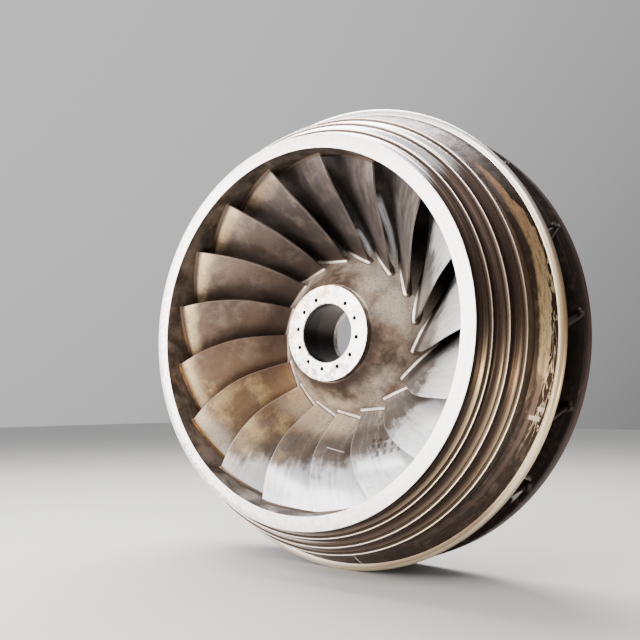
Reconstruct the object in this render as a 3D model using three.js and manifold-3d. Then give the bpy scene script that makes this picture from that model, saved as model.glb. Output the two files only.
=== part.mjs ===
// A francis turbine runner, standing on its two rims with its axis level.
// Millimetres. +Z is up, the axis runs along Y and the water leaves towards -Y.
// The origin is on the floor below the middle of the runner.

import * as THREE from 'three';
import { mergeVertices } from 'three/addons/utils/BufferGeometryUtils.js';
import Module from 'manifold-3d';

const wasm = await Module();
wasm.setup();

// Driving dimensions. A depth is a distance behind the outlet face.
const RIM_RADIUS = 677.5;
const TOTAL_DEPTH = 427.5;
const BLADE_COUNT = 17;
const FACETS_PER_BLADE = 3;
const GAP = 0.3;

// The band, with the seal ring and the inlet lip that it carries
const OUTLET_OUTER_RADIUS = 540;
const OUTLET_INNER_RADIUS = 501;
const THROAT_RADIUS = 499.5;
const THROAT_DEPTH = 48;
const BAND_BACK_DEPTH = 232;
const SEAL_SEAT_RADIUS = 546;
const SEAL_FRONT_DEPTH = 24;
const SEAL_BACK_DEPTH = 166;
const RIDGES = [
  { radius: 564.5, depth: 41 },
  { radius: 592.5, depth: 77 },
  { radius: 618.5, depth: 120 },
];
const RISER_HEIGHT = 10;
const RISER_FOOT = 4;
const FLARE_FOOT_RADIUS = 625;
const FLARE_FOOT_DEPTH = 175;
const LIP_SEAT_RADIUS = 656;
const LIP_BEND_RADIUS = 667;
const LIP_FRONT_DEPTH = 217.5;
const LIP_CHAMFER = 7;

// The crown, with its rim ring, its hub ring and the coupling flange at the back
const CROWN_FOOT_RADIUS = 231;
const CROWN_FOOT_DEPTH = 274;
const CROWN_RIM_DEPTH = 367;
const CROWN_NOSE_DEPTH = 175;
const CROWN_NOSE_RADIUS = 146;
const RIM_RING_THICKNESS = 18;
const RIM_CHAMFER = 3;
const BORE_RADIUS = 85.5;
const BORE_RELIEF_RADIUS = 92;
const BORE_REAR_RADIUS = 97;
const BORE_RELIEF_START = 191;
const BORE_RELIEF_END = 241;
const HUB_RING_RADIUS = 140.5;
const HUB_RING_DEPTH = 157;
const COUPLING_RADIUS = 228;
const COUPLING_FRONT_DEPTH = 330;
const COUPLING_BACK_DEPTH = 352;
const RECESS_RADIUS = 235;
const RECESS_DEPTH = 372;
const DISC_INNER_RADIUS = 380;
const CROWN_BACK_FLAT_RADIUS = 590;

// Bolt circles. One hole of the hub ring was never drilled.
const HUB_BOLTS = { count: 12, missing: 0, circle: 104.5, radius: 5, angle: 81 };
const COUPLING_BOLTS = { count: 8, missing: -1, circle: 165, radius: 16.5, angle: 90 };
const HOLE_SIDES = 12;

// Blades: radius, depth and sweep in degrees of the trailing edge, from the crown to the band
const TRAILING_EDGE = [
  [CROWN_FOOT_RADIUS, CROWN_FOOT_DEPTH, -13.2],
  [285, 206, -11.4],
  [339, 141, -9.1],
  [420, 76, -4.2],
  [THROAT_RADIUS, THROAT_DEPTH, 0],
];
const FIRST_BLADE_ANGLE = 83.7;
const LEADING_EDGE_RADIUS = 662;
const CROWN_WRAP_ANGLE = 46.2;
const BAND_WRAP_ANGLE = 42;
const CROWN_EXIT_PACE = 0.21;
const BAND_EXIT_PACE = 0.51;
const TRAILING_THICKNESS = 6;
const BODY_THICKNESS = 20;
const LEADING_THICKNESS = 8;
const ROOT_OVERLAP = 0.08;
const BLADE_STEPS = 9;
const BLADE_SPAN_STEPS = 4;

const FACETS = BLADE_COUNT * FACETS_PER_BLADE;
const PITCH = (2 * Math.PI) / BLADE_COUNT;
const radians = THREE.MathUtils.degToRad;
const { lerp, clamp } = THREE.MathUtils;

// A closed solid from a geometry, turned right side out where its faces point in
function solidOf(geometry) {
  const bare = geometry.clone();
  bare.deleteAttribute('normal');
  bare.deleteAttribute('uv');
  const merged = mergeVertices(bare, 1e-3);
  const places = merged.getAttribute('position');
  const corners = Array.from(merged.getIndex().array);
  const [a, b, c] = [new THREE.Vector3(), new THREE.Vector3(), new THREE.Vector3()];
  const faces = [];
  let volume = 0;
  for (let i = 0; i < corners.length; i += 3) {
    const face = corners.slice(i, i + 3);
    if (new Set(face).size === 3) {
      a.fromBufferAttribute(places, face[0]);
      b.fromBufferAttribute(places, face[1]);
      c.fromBufferAttribute(places, face[2]);
      volume += a.dot(b.cross(c));
      faces.push(face);
    }
  }
  if (volume < 0) {
    faces.forEach((face) => face.reverse());
  }
  const mesh = new wasm.Mesh({
    numProp: 3,
    vertProperties: new Float32Array(places.array),
    triVerts: new Uint32Array(faces.flat()),
  });
  return new wasm.Manifold(mesh);
}

function geometryOf(solid) {
  const mesh = solid.getMesh();
  const geometry = new THREE.BufferGeometry();
  geometry.setAttribute('position', new THREE.BufferAttribute(new Float32Array(mesh.vertProperties), 3));
  geometry.setIndex(new THREE.BufferAttribute(new Uint32Array(mesh.triVerts), 1));
  geometry.computeVertexNormals();
  return geometry;
}

// A ring turned about the axis from a closed outline of [radius, depth] corners.
// The count of facets is odd, so a flat of each rim lies on the floor.
function turned(outline) {
  const points = [...outline, outline[0]].map(([radius, depth]) => new THREE.Vector2(radius, depth));
  return solidOf(new THREE.LatheGeometry(points, FACETS));
}

function pairs(points) {
  return points.map((point) => [point.x, point.y]);
}

// The water side of the crown, from the blades' feet out to the inlet
const crownSweep = new THREE.CubicBezierCurve(
  new THREE.Vector2(CROWN_FOOT_RADIUS, CROWN_FOOT_DEPTH),
  new THREE.Vector2(285, 330),
  new THREE.Vector2(430, CROWN_RIM_DEPTH),
  new THREE.Vector2(LEADING_EDGE_RADIUS, CROWN_RIM_DEPTH),
);

function crownWaterSide(grown) {
  const sweep = pairs(crownSweep.getPoints(8)).map(([radius, depth]) => [radius, depth - grown]);
  return [[CROWN_NOSE_RADIUS, CROWN_NOSE_DEPTH - grown], ...sweep];
}

// The water side of the band, a quarter round from the throat out to the inlet
const bandRound = new THREE.EllipseCurve(
  RIM_RADIUS,
  THROAT_DEPTH,
  RIM_RADIUS - THROAT_RADIUS,
  BAND_BACK_DEPTH - THROAT_DEPTH,
  Math.PI,
  Math.PI / 2,
  true,
);

// Depth of the band's water side where it has a given radius
function bandDepthAt(radius) {
  const across = (RIM_RADIUS - radius) / (RIM_RADIUS - THROAT_RADIUS);
  return THROAT_DEPTH + (BAND_BACK_DEPTH - THROAT_DEPTH) * Math.sqrt(1 - across * across);
}

// Corners of the water side from the throat out to a radius, moved into the water by "grown"
function bandWaterSide(outerRadius, grown) {
  const inner = pairs(bandRound.getPoints(9)).filter(([radius]) => radius < LIP_SEAT_RADIUS - 5);
  const outer = [LIP_SEAT_RADIUS, LIP_BEND_RADIUS, RIM_RADIUS].filter((radius) => radius <= outerRadius);
  const corners = [...inner, ...outer.map((radius) => [radius, bandDepthAt(radius)])];
  const scale = 1 + grown / (RIM_RADIUS - THROAT_RADIUS);
  return corners.map(([radius, depth]) => [
    RIM_RADIUS + (radius - RIM_RADIUS) * scale,
    THROAT_DEPTH + (depth - THROAT_DEPTH) * scale,
  ]);
}

// Depth where a row of corners, sorted by radius, has a given radius
function depthOn(corners, radius) {
  const outer = corners.findIndex((corner) => corner[0] >= radius);
  const [[radius0, depth0], [radius1, depth1]] = corners.slice(outer - 1, outer + 1);
  return lerp(depth0, depth1, (radius - radius0) / (radius1 - radius0));
}

// The part of a row of corners between two radii, with both ends
function between(corners, inner, outer) {
  const middle = corners.filter(([radius]) => radius > inner && radius < outer);
  return [[inner, depthOn(corners, inner)], ...middle, [outer, depthOn(corners, outer)]];
}

// A ring of the crown, from its water side to its back
function crownRing(inner, outer) {
  const waterSide = [...crownWaterSide(0), [RIM_RADIUS, CROWN_RIM_DEPTH]];
  const back = [
    [RECESS_RADIUS, RECESS_DEPTH],
    [300, 390],
    [430, 414],
    [CROWN_BACK_FLAT_RADIUS, TOTAL_DEPTH],
    [RIM_RADIUS, TOTAL_DEPTH],
  ];
  return turned([...between(waterSide, inner, outer), ...between(back, inner, outer).reverse()]);
}

// The middle of the crown, with the stepped bore and the seat of the coupling flange
function buildCrownHub() {
  const seatDepth = COUPLING_FRONT_DEPTH - GAP;
  const waterSide = crownWaterSide(0);
  return turned([
    [BORE_RADIUS, CROWN_NOSE_DEPTH],
    ...waterSide.filter(([radius]) => radius < RECESS_RADIUS),
    [RECESS_RADIUS, depthOn(waterSide, RECESS_RADIUS)],
    [RECESS_RADIUS, seatDepth],
    [BORE_REAR_RADIUS, seatDepth],
    [BORE_REAR_RADIUS, BORE_RELIEF_END],
    [BORE_RELIEF_RADIUS, BORE_RELIEF_END],
    [BORE_RELIEF_RADIUS, BORE_RELIEF_START],
    [BORE_RADIUS, BORE_RELIEF_START],
  ]);
}

function buildRimRing() {
  const innerRadius = RIM_RADIUS - RIM_RING_THICKNESS + GAP;
  return turned([
    [innerRadius, CROWN_RIM_DEPTH],
    [RIM_RADIUS - RIM_CHAMFER, CROWN_RIM_DEPTH],
    [RIM_RADIUS, CROWN_RIM_DEPTH + RIM_CHAMFER],
    [RIM_RADIUS, TOTAL_DEPTH - RIM_CHAMFER],
    [RIM_RADIUS - RIM_CHAMFER, TOTAL_DEPTH],
    [innerRadius, TOTAL_DEPTH],
  ]);
}

// Holes along the axis on a bolt circle, with the missing one left out
function boltHoles({ count, missing, circle, radius, angle }, from, to) {
  const holes = [];
  for (let i = 0; i < count; i += 1) {
    if (i !== missing) {
      const turn = radians(angle) + (i * 2 * Math.PI) / count;
      const hole = new THREE.CylinderGeometry(radius, radius, to - from, HOLE_SIDES);
      hole.translate(circle * Math.cos(turn), (from + to) / 2, circle * Math.sin(turn));
      holes.push(solidOf(hole));
    }
  }
  return holes.reduce((joined, hole) => joined.add(hole));
}

function buildHubRing() {
  const backDepth = CROWN_NOSE_DEPTH - GAP;
  const ring = turned([
    [BORE_RADIUS, HUB_RING_DEPTH],
    [HUB_RING_RADIUS, HUB_RING_DEPTH],
    [HUB_RING_RADIUS, backDepth],
    [BORE_RADIUS, backDepth],
  ]);
  return ring.subtract(boltHoles(HUB_BOLTS, HUB_RING_DEPTH - 1, backDepth + 1));
}

function buildCouplingFlange() {
  const ring = turned([
    [BORE_REAR_RADIUS, COUPLING_FRONT_DEPTH],
    [COUPLING_RADIUS, COUPLING_FRONT_DEPTH],
    [COUPLING_RADIUS, COUPLING_BACK_DEPTH],
    [BORE_REAR_RADIUS, COUPLING_BACK_DEPTH],
  ]);
  return ring.subtract(boltHoles(COUPLING_BOLTS, COUPLING_FRONT_DEPTH - 1, COUPLING_BACK_DEPTH + 1));
}

function buildBand() {
  const sealBack = SEAL_BACK_DEPTH + GAP;
  return turned([
    [OUTLET_OUTER_RADIUS, 0],
    [OUTLET_INNER_RADIUS, 0],
    ...bandWaterSide(LIP_SEAT_RADIUS, 0),
    [LIP_SEAT_RADIUS, LIP_FRONT_DEPTH],
    [FLARE_FOOT_RADIUS, FLARE_FOOT_DEPTH],
    [RIDGES[2].radius, sealBack],
    [SEAL_SEAT_RADIUS, sealBack],
    [SEAL_SEAT_RADIUS, SEAL_FRONT_DEPTH],
    [OUTLET_OUTER_RADIUS, SEAL_FRONT_DEPTH - 6],
  ]);
}

// Three steps, each with a shoulder, a riser that faces the outlet, and a crest
function buildSealRing() {
  const innerRadius = SEAL_SEAT_RADIUS + GAP;
  const steps = RIDGES.flatMap(({ radius, depth }, i) => {
    const runEnd = i < 2 ? lerp(depth, RIDGES[i + 1].depth, 0.42) : SEAL_BACK_DEPTH;
    return [
      [radius - RISER_HEIGHT, depth - RISER_FOOT],
      [radius - RISER_HEIGHT, depth],
      [radius, depth],
      [radius, runEnd],
    ];
  });
  return turned([[innerRadius, SEAL_FRONT_DEPTH], ...steps, [innerRadius, SEAL_BACK_DEPTH]]);
}

function buildInletLip() {
  const innerRadius = LIP_SEAT_RADIUS + GAP;
  return turned([
    [innerRadius, LIP_FRONT_DEPTH],
    [RIM_RADIUS - LIP_CHAMFER, LIP_FRONT_DEPTH],
    [RIM_RADIUS, LIP_FRONT_DEPTH + LIP_CHAMFER],
    [RIM_RADIUS, BAND_BACK_DEPTH],
    [LIP_BEND_RADIUS, bandDepthAt(LIP_BEND_RADIUS)],
    [innerRadius, bandDepthAt(innerRadius)],
  ]);
}

// Blades. t runs from the trailing edge to the leading edge, s from the crown to the band.
const trailingEdge = new THREE.CatmullRomCurve3(TRAILING_EDGE.map((place) => new THREE.Vector3(...place)));
const bandLeadingTurn = Math.acos((RIM_RADIUS - LEADING_EDGE_RADIUS) / (RIM_RADIUS - THROAT_RADIUS));
const bandLeadingShare = bandLeadingTurn / (Math.PI / 2);

// Radius and depth of the blade's mean surface, blended between the crown and the band
function meridianPoint(m, s) {
  const onCrown = crownSweep.getPointAt(m);
  const onBand = bandRound.getPoint(m * bandLeadingShare);
  const exit = trailingEdge.getPoint(s);
  const exitChordRadius = lerp(CROWN_FOOT_RADIUS, THROAT_RADIUS, s);
  const exitChordDepth = lerp(CROWN_FOOT_DEPTH, THROAT_DEPTH, s);
  return [
    lerp(onCrown.x, onBand.x, s) + (1 - m) * (exit.x - exitChordRadius),
    lerp(onCrown.y, onBand.y, s) + (1 - m) * (exit.y - exitChordDepth),
  ];
}

function meanPoint(t, s) {
  const pace = lerp(CROWN_EXIT_PACE, BAND_EXIT_PACE, s);
  const m = pace * t + (1 - pace) * t ** 3;
  const [radius, depth] = meridianPoint(m, s);
  const exitAngle = trailingEdge.getPoint(s).z;
  const inletAngle = lerp(CROWN_WRAP_ANGLE, BAND_WRAP_ANGLE, s);
  const angle = radians(FIRST_BLADE_ANGLE + lerp(exitAngle, inletAngle, t));
  return new THREE.Vector3(radius * Math.cos(angle), depth, radius * Math.sin(angle));
}

// The mean surface carried straight on past the crown and the band, into both
function extendedPoint(t, s) {
  const inside = clamp(s, 0, 1);
  const edge = meanPoint(t, inside);
  if (s === inside) {
    return edge;
  }
  const step = 0.05;
  const inner = meanPoint(t, inside + (s < 0 ? step : -step));
  return edge.clone().addScaledVector(edge.clone().sub(inner), Math.abs(s - inside) / step);
}

function bladeNormal(t, s) {
  const step = 0.01;
  const inside = clamp(s, step, 1 - step);
  const low = clamp(t - step, 0, 1);
  const high = clamp(t + step, 0, 1);
  const along = meanPoint(high, inside).sub(meanPoint(low, inside));
  const across = meanPoint(t, inside + step).sub(meanPoint(t, inside - step));
  return along.cross(across).normalize();
}

function bladeThickness(t) {
  const ends = lerp(TRAILING_THICKNESS, LEADING_THICKNESS, t);
  return ends + (BODY_THICKNESS - ends) * Math.sin(Math.PI * t) ** 0.7;
}

// A box bent into a blade, its ends then cut off just short of the crown and the band
function buildBlade() {
  const box = new THREE.BoxGeometry(1, 1, 1, BLADE_STEPS, BLADE_SPAN_STEPS, 1);
  const places = box.getAttribute('position');
  for (let i = 0; i < places.count; i += 1) {
    const t = places.getX(i) + 0.5;
    const s = (places.getY(i) + 0.5) * (1 + 2 * ROOT_OVERLAP) - ROOT_OVERLAP;
    const offset = places.getZ(i) * bladeThickness(t);
    const place = extendedPoint(t, s).addScaledVector(bladeNormal(t, s), offset);
    places.setXYZ(i, place.x, place.y, place.z);
  }
  const clearOfAll = 60;
  const crownSide = turned([
    [BORE_RADIUS, CROWN_NOSE_DEPTH - GAP],
    ...crownWaterSide(GAP),
    [RIM_RADIUS + clearOfAll, CROWN_RIM_DEPTH - GAP],
    [RIM_RADIUS + clearOfAll, TOTAL_DEPTH + clearOfAll],
    [BORE_RADIUS, TOTAL_DEPTH + clearOfAll],
  ]);
  const bandSide = turned([
    [OUTLET_INNER_RADIUS - GAP, 0],
    ...bandWaterSide(RIM_RADIUS, GAP),
    [RIM_RADIUS + clearOfAll, BAND_BACK_DEPTH + GAP],
    [RIM_RADIUS + clearOfAll, 0],
  ]);
  return solidOf(box).subtract(crownSide).subtract(bandSide);
}

// Finishes
const bladeSteel = { color: 0x8a7460, metalness: 0.9, roughness: 0.4 };
const crownSteel = { color: 0x5d4d42, metalness: 0.7, roughness: 0.55 };
const bandSteel = { color: 0x54402f, metalness: 0.8, roughness: 0.45 };
const machinedSteel = { color: 0xd9d7d3, metalness: 1, roughness: 0.3 };

// The runner as a scene
const runner = new THREE.Group();
runner.position.set(0, -TOTAL_DEPTH / 2, RIM_RADIUS * Math.cos(Math.PI / FACETS));

function place(name, geometry, finish) {
  const mesh = new THREE.Mesh(geometry, new THREE.MeshStandardMaterial(finish));
  mesh.name = name;
  runner.add(mesh);
  return mesh;
}

const shoulder = crownRing(RECESS_RADIUS + GAP, DISC_INNER_RADIUS);
const disc = crownRing(DISC_INNER_RADIUS + GAP, RIM_RADIUS - RIM_RING_THICKNESS);
place('crown_hub', geometryOf(buildCrownHub()), crownSteel);
place('crown_shoulder', geometryOf(shoulder), crownSteel);
place('crown_disc', geometryOf(disc), crownSteel);
place('crown_rim_ring', geometryOf(buildRimRing()), bandSteel);
place('hub_ring', geometryOf(buildHubRing()), machinedSteel);
place('coupling_flange', geometryOf(buildCouplingFlange()), machinedSteel);
place('band', geometryOf(buildBand()), bandSteel);
place('seal_ring', geometryOf(buildSealRing()), bandSteel);
place('inlet_lip', geometryOf(buildInletLip()), bandSteel);

const bladeGeometry = geometryOf(buildBlade());
for (let i = 0; i < BLADE_COUNT; i += 1) {
  const name = `blade_${String(i + 1).padStart(2, '0')}`;
  const blade = place(name, bladeGeometry, bladeSteel);
  blade.rotation.y = -i * PITCH;
}

export default runner;
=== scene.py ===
# %% [markdown]
# # A francis turbine runner
# This lesson dresses a cast and machined steel water wheel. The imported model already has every
# piece at its real size, with flat facets. Here each piece is modelled again, finer, in the same
# place, and gets the tarnish, the tooling marks and the wear that such steel shows.
# We work in metres, but write sizes in millimetres, as a workshop drawing does.

# %% Load the model that everything must fit
import math
import bpy
import mathutils
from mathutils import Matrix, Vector


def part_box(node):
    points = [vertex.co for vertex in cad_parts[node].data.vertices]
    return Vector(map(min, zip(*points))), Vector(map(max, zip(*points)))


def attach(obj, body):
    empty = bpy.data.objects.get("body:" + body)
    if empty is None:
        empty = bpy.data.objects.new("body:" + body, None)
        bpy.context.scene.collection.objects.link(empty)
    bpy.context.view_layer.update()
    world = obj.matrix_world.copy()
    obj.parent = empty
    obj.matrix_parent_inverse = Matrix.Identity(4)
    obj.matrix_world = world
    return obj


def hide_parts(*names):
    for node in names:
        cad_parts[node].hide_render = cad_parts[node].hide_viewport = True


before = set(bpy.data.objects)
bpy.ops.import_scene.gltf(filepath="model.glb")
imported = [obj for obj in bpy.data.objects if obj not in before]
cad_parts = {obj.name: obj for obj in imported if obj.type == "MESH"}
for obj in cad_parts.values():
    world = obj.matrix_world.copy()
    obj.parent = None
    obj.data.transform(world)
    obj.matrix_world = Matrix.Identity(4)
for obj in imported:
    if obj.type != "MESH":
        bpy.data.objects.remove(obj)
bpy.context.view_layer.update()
MM = 0.001
print("pieces to dress:", len(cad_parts))

# %% [markdown]
# A turned part is described by two numbers: a radius from the axis and a depth behind the front
# face. So we need the axis height and the front plane first. Both come from the boxes of the
# model's rim and band, and `place` turns a radius, a depth and an angle into a point. The model's
# rim is a polygon that stands on a flat. Ours is round, so its radius is the height of the axis.

# %% Find the axis and the front plane
MODEL_RIM_RADIUS = 677.5
_, rim_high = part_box("crown_rim_ring")
band_low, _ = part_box("band")
AXIS_HEIGHT = rim_high.z - MODEL_RIM_RADIUS * MM
RIM_RADIUS = AXIS_HEIGHT / MM
FRONT = band_low.y
BLADE_COUNT = sum(1 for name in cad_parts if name.startswith("blade_"))
FULL_TURN = 2 * math.pi
PITCH = FULL_TURN / BLADE_COUNT


def place(radius, depth, angle):
    """A point from millimetres and an angle in radians, counted from +X towards +Z."""
    return Vector((
        radius * MM * math.cos(angle),
        FRONT + depth * MM,
        AXIS_HEIGHT + radius * MM * math.sin(angle),
    ))


def mix(a, b, share):
    return a + (b - a) * share


print("axis at", round(AXIS_HEIGHT, 4), "front at", round(FRONT, 4), "blades", BLADE_COUNT)

# %% [markdown]
# ## The camera
# The viewer stands in front of the outlet, to the right and a little below the axis. The camera
# looks up by about six degrees, which is why the rims look wider on the right.

# %% Stand the camera where the viewer stands
CAMERA_FROM_FACE = Vector((1.2733, -1.6043, -0.1987))
CAMERA_FORWARD = Vector((-0.5893, 0.8006, 0.1082))
CAMERA_LENS, SENSOR_WIDTH = 42.33, 36
camera_data = bpy.data.cameras.new("camera")
camera_data.lens = CAMERA_LENS
camera_data.sensor_width = SENSOR_WIDTH
camera = bpy.data.objects.new("camera", camera_data)
bpy.context.scene.collection.objects.link(camera)
camera.location = CAMERA_FROM_FACE + Vector((0, FRONT, AXIS_HEIGHT))
camera.rotation_euler = CAMERA_FORWARD.to_track_quat("-Z", "Y").to_euler()
bpy.context.scene.camera = camera
print("camera at", tuple(round(v, 3) for v in camera.location))

# %% [markdown]
# ## Wiring a finish
# A finish is a small machine of nodes. A Wire is what comes out of a node. Wires can be added and
# multiplied like numbers, and each sum makes a Math node. Other helpers name the steps that come
# back all the time, such as a soft step from 0 to 1, a blend of two colours and a cloudy noise.

# %% Helpers that wire nodes
class Wire:
    """What comes out of a node, to calculate with as with a number."""

    def __init__(self, socket):
        self.socket = socket

    def __add__(self, other):
        return calc("ADD", self, other)

    def __sub__(self, other):
        return calc("SUBTRACT", self, other)

    def __rsub__(self, other):
        return calc("SUBTRACT", other, self)

    def __mul__(self, other):
        return calc("MULTIPLY", self, other)

    def __truediv__(self, other):
        return calc("DIVIDE", self, other)

    def step(self, start, end, low=0.0, high=1.0):
        """Runs softly from low to high while this wire runs from start to end."""
        inputs = {"Value": self, "From Min": start, "From Max": end, "To Min": low, "To Max": high}
        return add_node("ShaderNodeMapRange", inputs, interpolation_type="SMOOTHSTEP")[0]

    def near(self, middle, half_width, soft):
        """1 where this wire is close to a middle, falling softly to 0."""
        return calc("ABSOLUTE", self - middle).step(half_width + soft, half_width)


def connect(value, socket):
    if isinstance(value, Wire):
        socket.id_data.links.new(value.socket, socket)
    elif socket.type == "RGBA" and len(value) == 3:
        socket.default_value = (*value, 1)
    else:
        socket.default_value = value


def add_node(kind, inputs, tree=None, **settings):
    """A node in the tree of its first wire, with its inputs filled. Gives the output wires."""
    tree = tree or next(v.socket for v in inputs.values() if isinstance(v, Wire)).id_data
    node = tree.nodes.new(kind)
    for name, value in settings.items():
        setattr(node, name, value)
    for name, value in inputs.items():
        connect(value, node.inputs[name])
    return [Wire(socket) for socket in node.outputs]


def calc(operation, *values):
    return add_node("ShaderNodeMath", dict(enumerate(values)), operation=operation)[0]


def larger(first, second):
    return calc("MAXIMUM", first, second)


def blend(share, first, second):
    return add_node("ShaderNodeMix", {0: share, 6: first, 7: second}, data_type="RGBA")[2]


def join(x, y, z=0):
    return add_node("ShaderNodeCombineXYZ", {0: x, 1: y, 2: z})[0]


def stops(share, colors, whole=1):
    """Colours or grey values along a wire that runs from 0 to 1. colors holds place: colour."""
    ramp = add_node("ShaderNodeValToRGB", {0: share})[0]
    elements = ramp.socket.node.color_ramp.elements
    while len(elements) < len(colors):
        elements.new(0.5)
    for element, (at, color) in zip(elements, colors.items()):
        element.position = at / whole
        element.color = (*color, 1) if isinstance(color, tuple) else (color, color, color, 1)
    return ramp


def noise(point, size, detail=4.0, roughness=0.6, distortion=0.0):
    inputs = {"Vector": point, "Scale": size, "Detail": detail, "Roughness": roughness}
    return add_node("ShaderNodeTexNoise", inputs | {"Distortion": distortion})[0]


print("node helpers ready")

# %% [markdown]
# ## Effects that several finishes share
# Marks on turned steel follow the turning, so a finish must know where it is on the wheel: the
# radius, the depth behind the front and the turn round the axis as a share of a full circle.
# That is the first node group. The others are the rings a lathe tool leaves, clouds of tarnish,
# zones with a ragged border and small specks.

# %% Node groups
def start_group(name, inputs, outputs):
    """A group whose inputs are numbers, apart from its Point. Gives it and its input wires."""
    tree = bpy.data.node_groups.new(name, "ShaderNodeTree")
    for direction, names in (("INPUT", inputs), ("OUTPUT", outputs)):
        for socket in names:
            kind = "NodeSocketVector" if socket == "Point" else "NodeSocketFloat"
            tree.interface.new_socket(name=socket, in_out=direction, socket_type=kind)
    given = tree.nodes.new("NodeGroupInput").outputs
    return tree, [Wire(given[name]) for name in inputs]


def end_group(tree, **results):
    sockets = tree.nodes.new("NodeGroupOutput").inputs
    for name, wire in results.items():
        connect(wire, sockets[name])


place_on_wheel, (spot,) = start_group("place on the wheel", ["Point"], ["Radius", "Depth", "Turn"])
across, behind, height = add_node("ShaderNodeSeparateXYZ", {0: spot})
up = height - AXIS_HEIGHT
end_group(
    place_on_wheel,
    Radius=calc("SQRT", across * across + up * up) * (1 / MM),
    Depth=(behind - FRONT) * (1 / MM),
    Turn=calc("FRACT", calc("ARCTAN2", up, across) / FULL_TURN),
)

turning_marks, (from_axis, deep, turned, fineness) = start_group(
    "turning marks", ["Radius", "Depth", "Turn", "Fineness"], ["Marks"],
)
round_angle = turned * FULL_TURN
along_cut = join(calc("COSINE", round_angle), calc("SINE", round_angle), from_axis * fineness)
end_group(turning_marks, Marks=add_node("ShaderNodeTexNoise", {
    "Vector": along_cut, "W": deep * fineness, "Scale": 1.0, "Detail": 4.0, "Roughness": 0.65,
}, noise_dimensions="4D")[0])

tarnish_cloud, (spot, size, start, end) = start_group(
    "cloud of tarnish", ["Point", "Size", "Start", "End"], ["Mask"],
)
end_group(tarnish_cloud, Mask=noise(spot, size, 6.0, 0.62, 0.4).step(start, end))

ragged_zone, (value, start, end, spot, size, raggedness) = start_group(
    "ragged zone", ["Value", "Start", "End", "Point", "Size", "Raggedness"], ["Mask"],
)
ragged_value = value + (noise(spot, size, 8.0) - 0.5) * raggedness
end_group(ragged_zone, Mask=ragged_value.step(start, end))

specks, (spot, size, share) = start_group("specks", ["Point", "Size", "Share"], ["Mask"])
speck_start = 0.78 - share
end_group(specks, Mask=noise(spot, size, 2.0, 0.5).step(speck_start, speck_start + 0.05))
print("groups:", [group.name for group in bpy.data.node_groups])

# %% [markdown]
# A Finish is a material under way. It starts with a first colour, and `paint` lays the next one
# over it wherever a share is above 0. `around` lets us write shares and colours at degrees round
# the wheel, from the right side up over the top.

# %% Start a finish
class Finish:
    """A material under way, with the point on the piece, its place on the wheel and its colour."""

    def __init__(self, name, metallic, color=None):
        self.material = bpy.data.materials.new(name)
        self.material.use_nodes = True
        self.tree = self.material.node_tree
        self.shader = self.tree.nodes["Principled BSDF"].inputs
        self.shader["Metallic"].default_value = metallic
        self.point = self.given("ShaderNodeTexCoord", "Object")
        self.radius, self.depth, self.turn = self.use(place_on_wheel, Point=self.point)
        self.color = color

    def given(self, kind, name):
        """One output of a node that needs no input, such as the point on the piece."""
        return next(w for w in add_node(kind, {}, self.tree) if w.socket.name == name)

    def use(self, group, **inputs):
        return add_node("ShaderNodeGroup", inputs, self.tree, node_tree=group)

    def paint(self, share, color):
        self.color = blend(share, self.color, color)

    def around(self, colors):
        """Values at degrees round the wheel. The circle closes on the first one."""
        return stops(self.turn, {**colors, 360: colors.get(360, colors[0])}, 360)

    def marks(self, fineness):
        return self.use(
            turning_marks, Radius=self.radius, Depth=self.depth, Turn=self.turn, Fineness=fineness,
        )[0]

    def cloud(self, size, start, end):
        return self.use(tarnish_cloud, Point=self.point, Size=size, Start=start, End=end)[0]

    def specks(self, size, share):
        return self.use(specks, Point=self.point, Size=size, Share=share)[0]

    def ragged(self, value, start, end, size, raggedness, point=None):
        return self.use(
            ragged_zone, Value=value, Start=start, End=end, Point=point or self.point, Size=size,
            Raggedness=raggedness,
        )[0]

    def unrolled(self):
        """The piece's own UV map, and its two numbers."""
        flat = self.given("ShaderNodeTexCoord", "UV")
        return [flat, *add_node("ShaderNodeSeparateXYZ", {0: flat})[:2]]

    def done(self, roughness, height, bump=0.25, bump_size=0.6):
        relief = {"Height": height, "Strength": bump, "Distance": bump_size * MM}
        connect(self.color, self.shader["Base Color"])
        connect(roughness, self.shader["Roughness"])
        connect(add_node("ShaderNodeBump", relief)[0], self.shader["Normal"])
        return self.material

    def turned(self, marks, smooth, rough, bump=0.15):
        """Done, with the marks of the lathe in the shine and in the relief."""
        return self.done(marks.step(0.2, 0.8, smooth, rough), marks, bump)


print("finishes can start")

# %% [markdown]
# ## Bright machined steel
# The outlet face and the hub ring were skimmed last, so they are almost white. Up close they have
# fine rings, faint yellow stains, grey smudges low on the face, and a few specks of rust.

# %% Bright finish
def bright_finish(name, stains, rust, color=(0.95, 0.93, 0.9)):
    steel = Finish(name, 0.6, color)
    marks = steel.marks(0.35)
    high = steel.around({0: 0.25, 50: 0.6, 90: 1, 150: 0.7, 260: 0.25})
    low = steel.around({0: 0.2, 120: 0.35, 200: 0.7, 225: 1, 290: 0.8, 330: 0.1})
    dull = steel.around({0: 0, 130: 0.1, 190: 0.8, 240: 0.8, 268: 0.2, 300: 0})
    worked = noise(steel.point, 60, 6.0, 0.7) + steel.radius.step(520, 539, -0.1, 0.2)
    steel.paint(steel.cloud(42, 0.42, 0.58) * stains * high, (0.6, 0.34, 0.12))
    steel.paint(marks.step(0.45, 0.25, 0, 0.2), (0.66, 0.62, 0.58))
    steel.paint(steel.cloud(46, 0.49, 0.6) * low * stains, (0.16, 0.13, 0.11))
    steel.paint(dull * worked.step(0.38, 0.6), (0.3, 0.29, 0.25))
    steel.paint(steel.specks(130, rust), (0.3, 0.12, 0.04))
    return steel.turned(marks, 0.26, 0.44)


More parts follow.
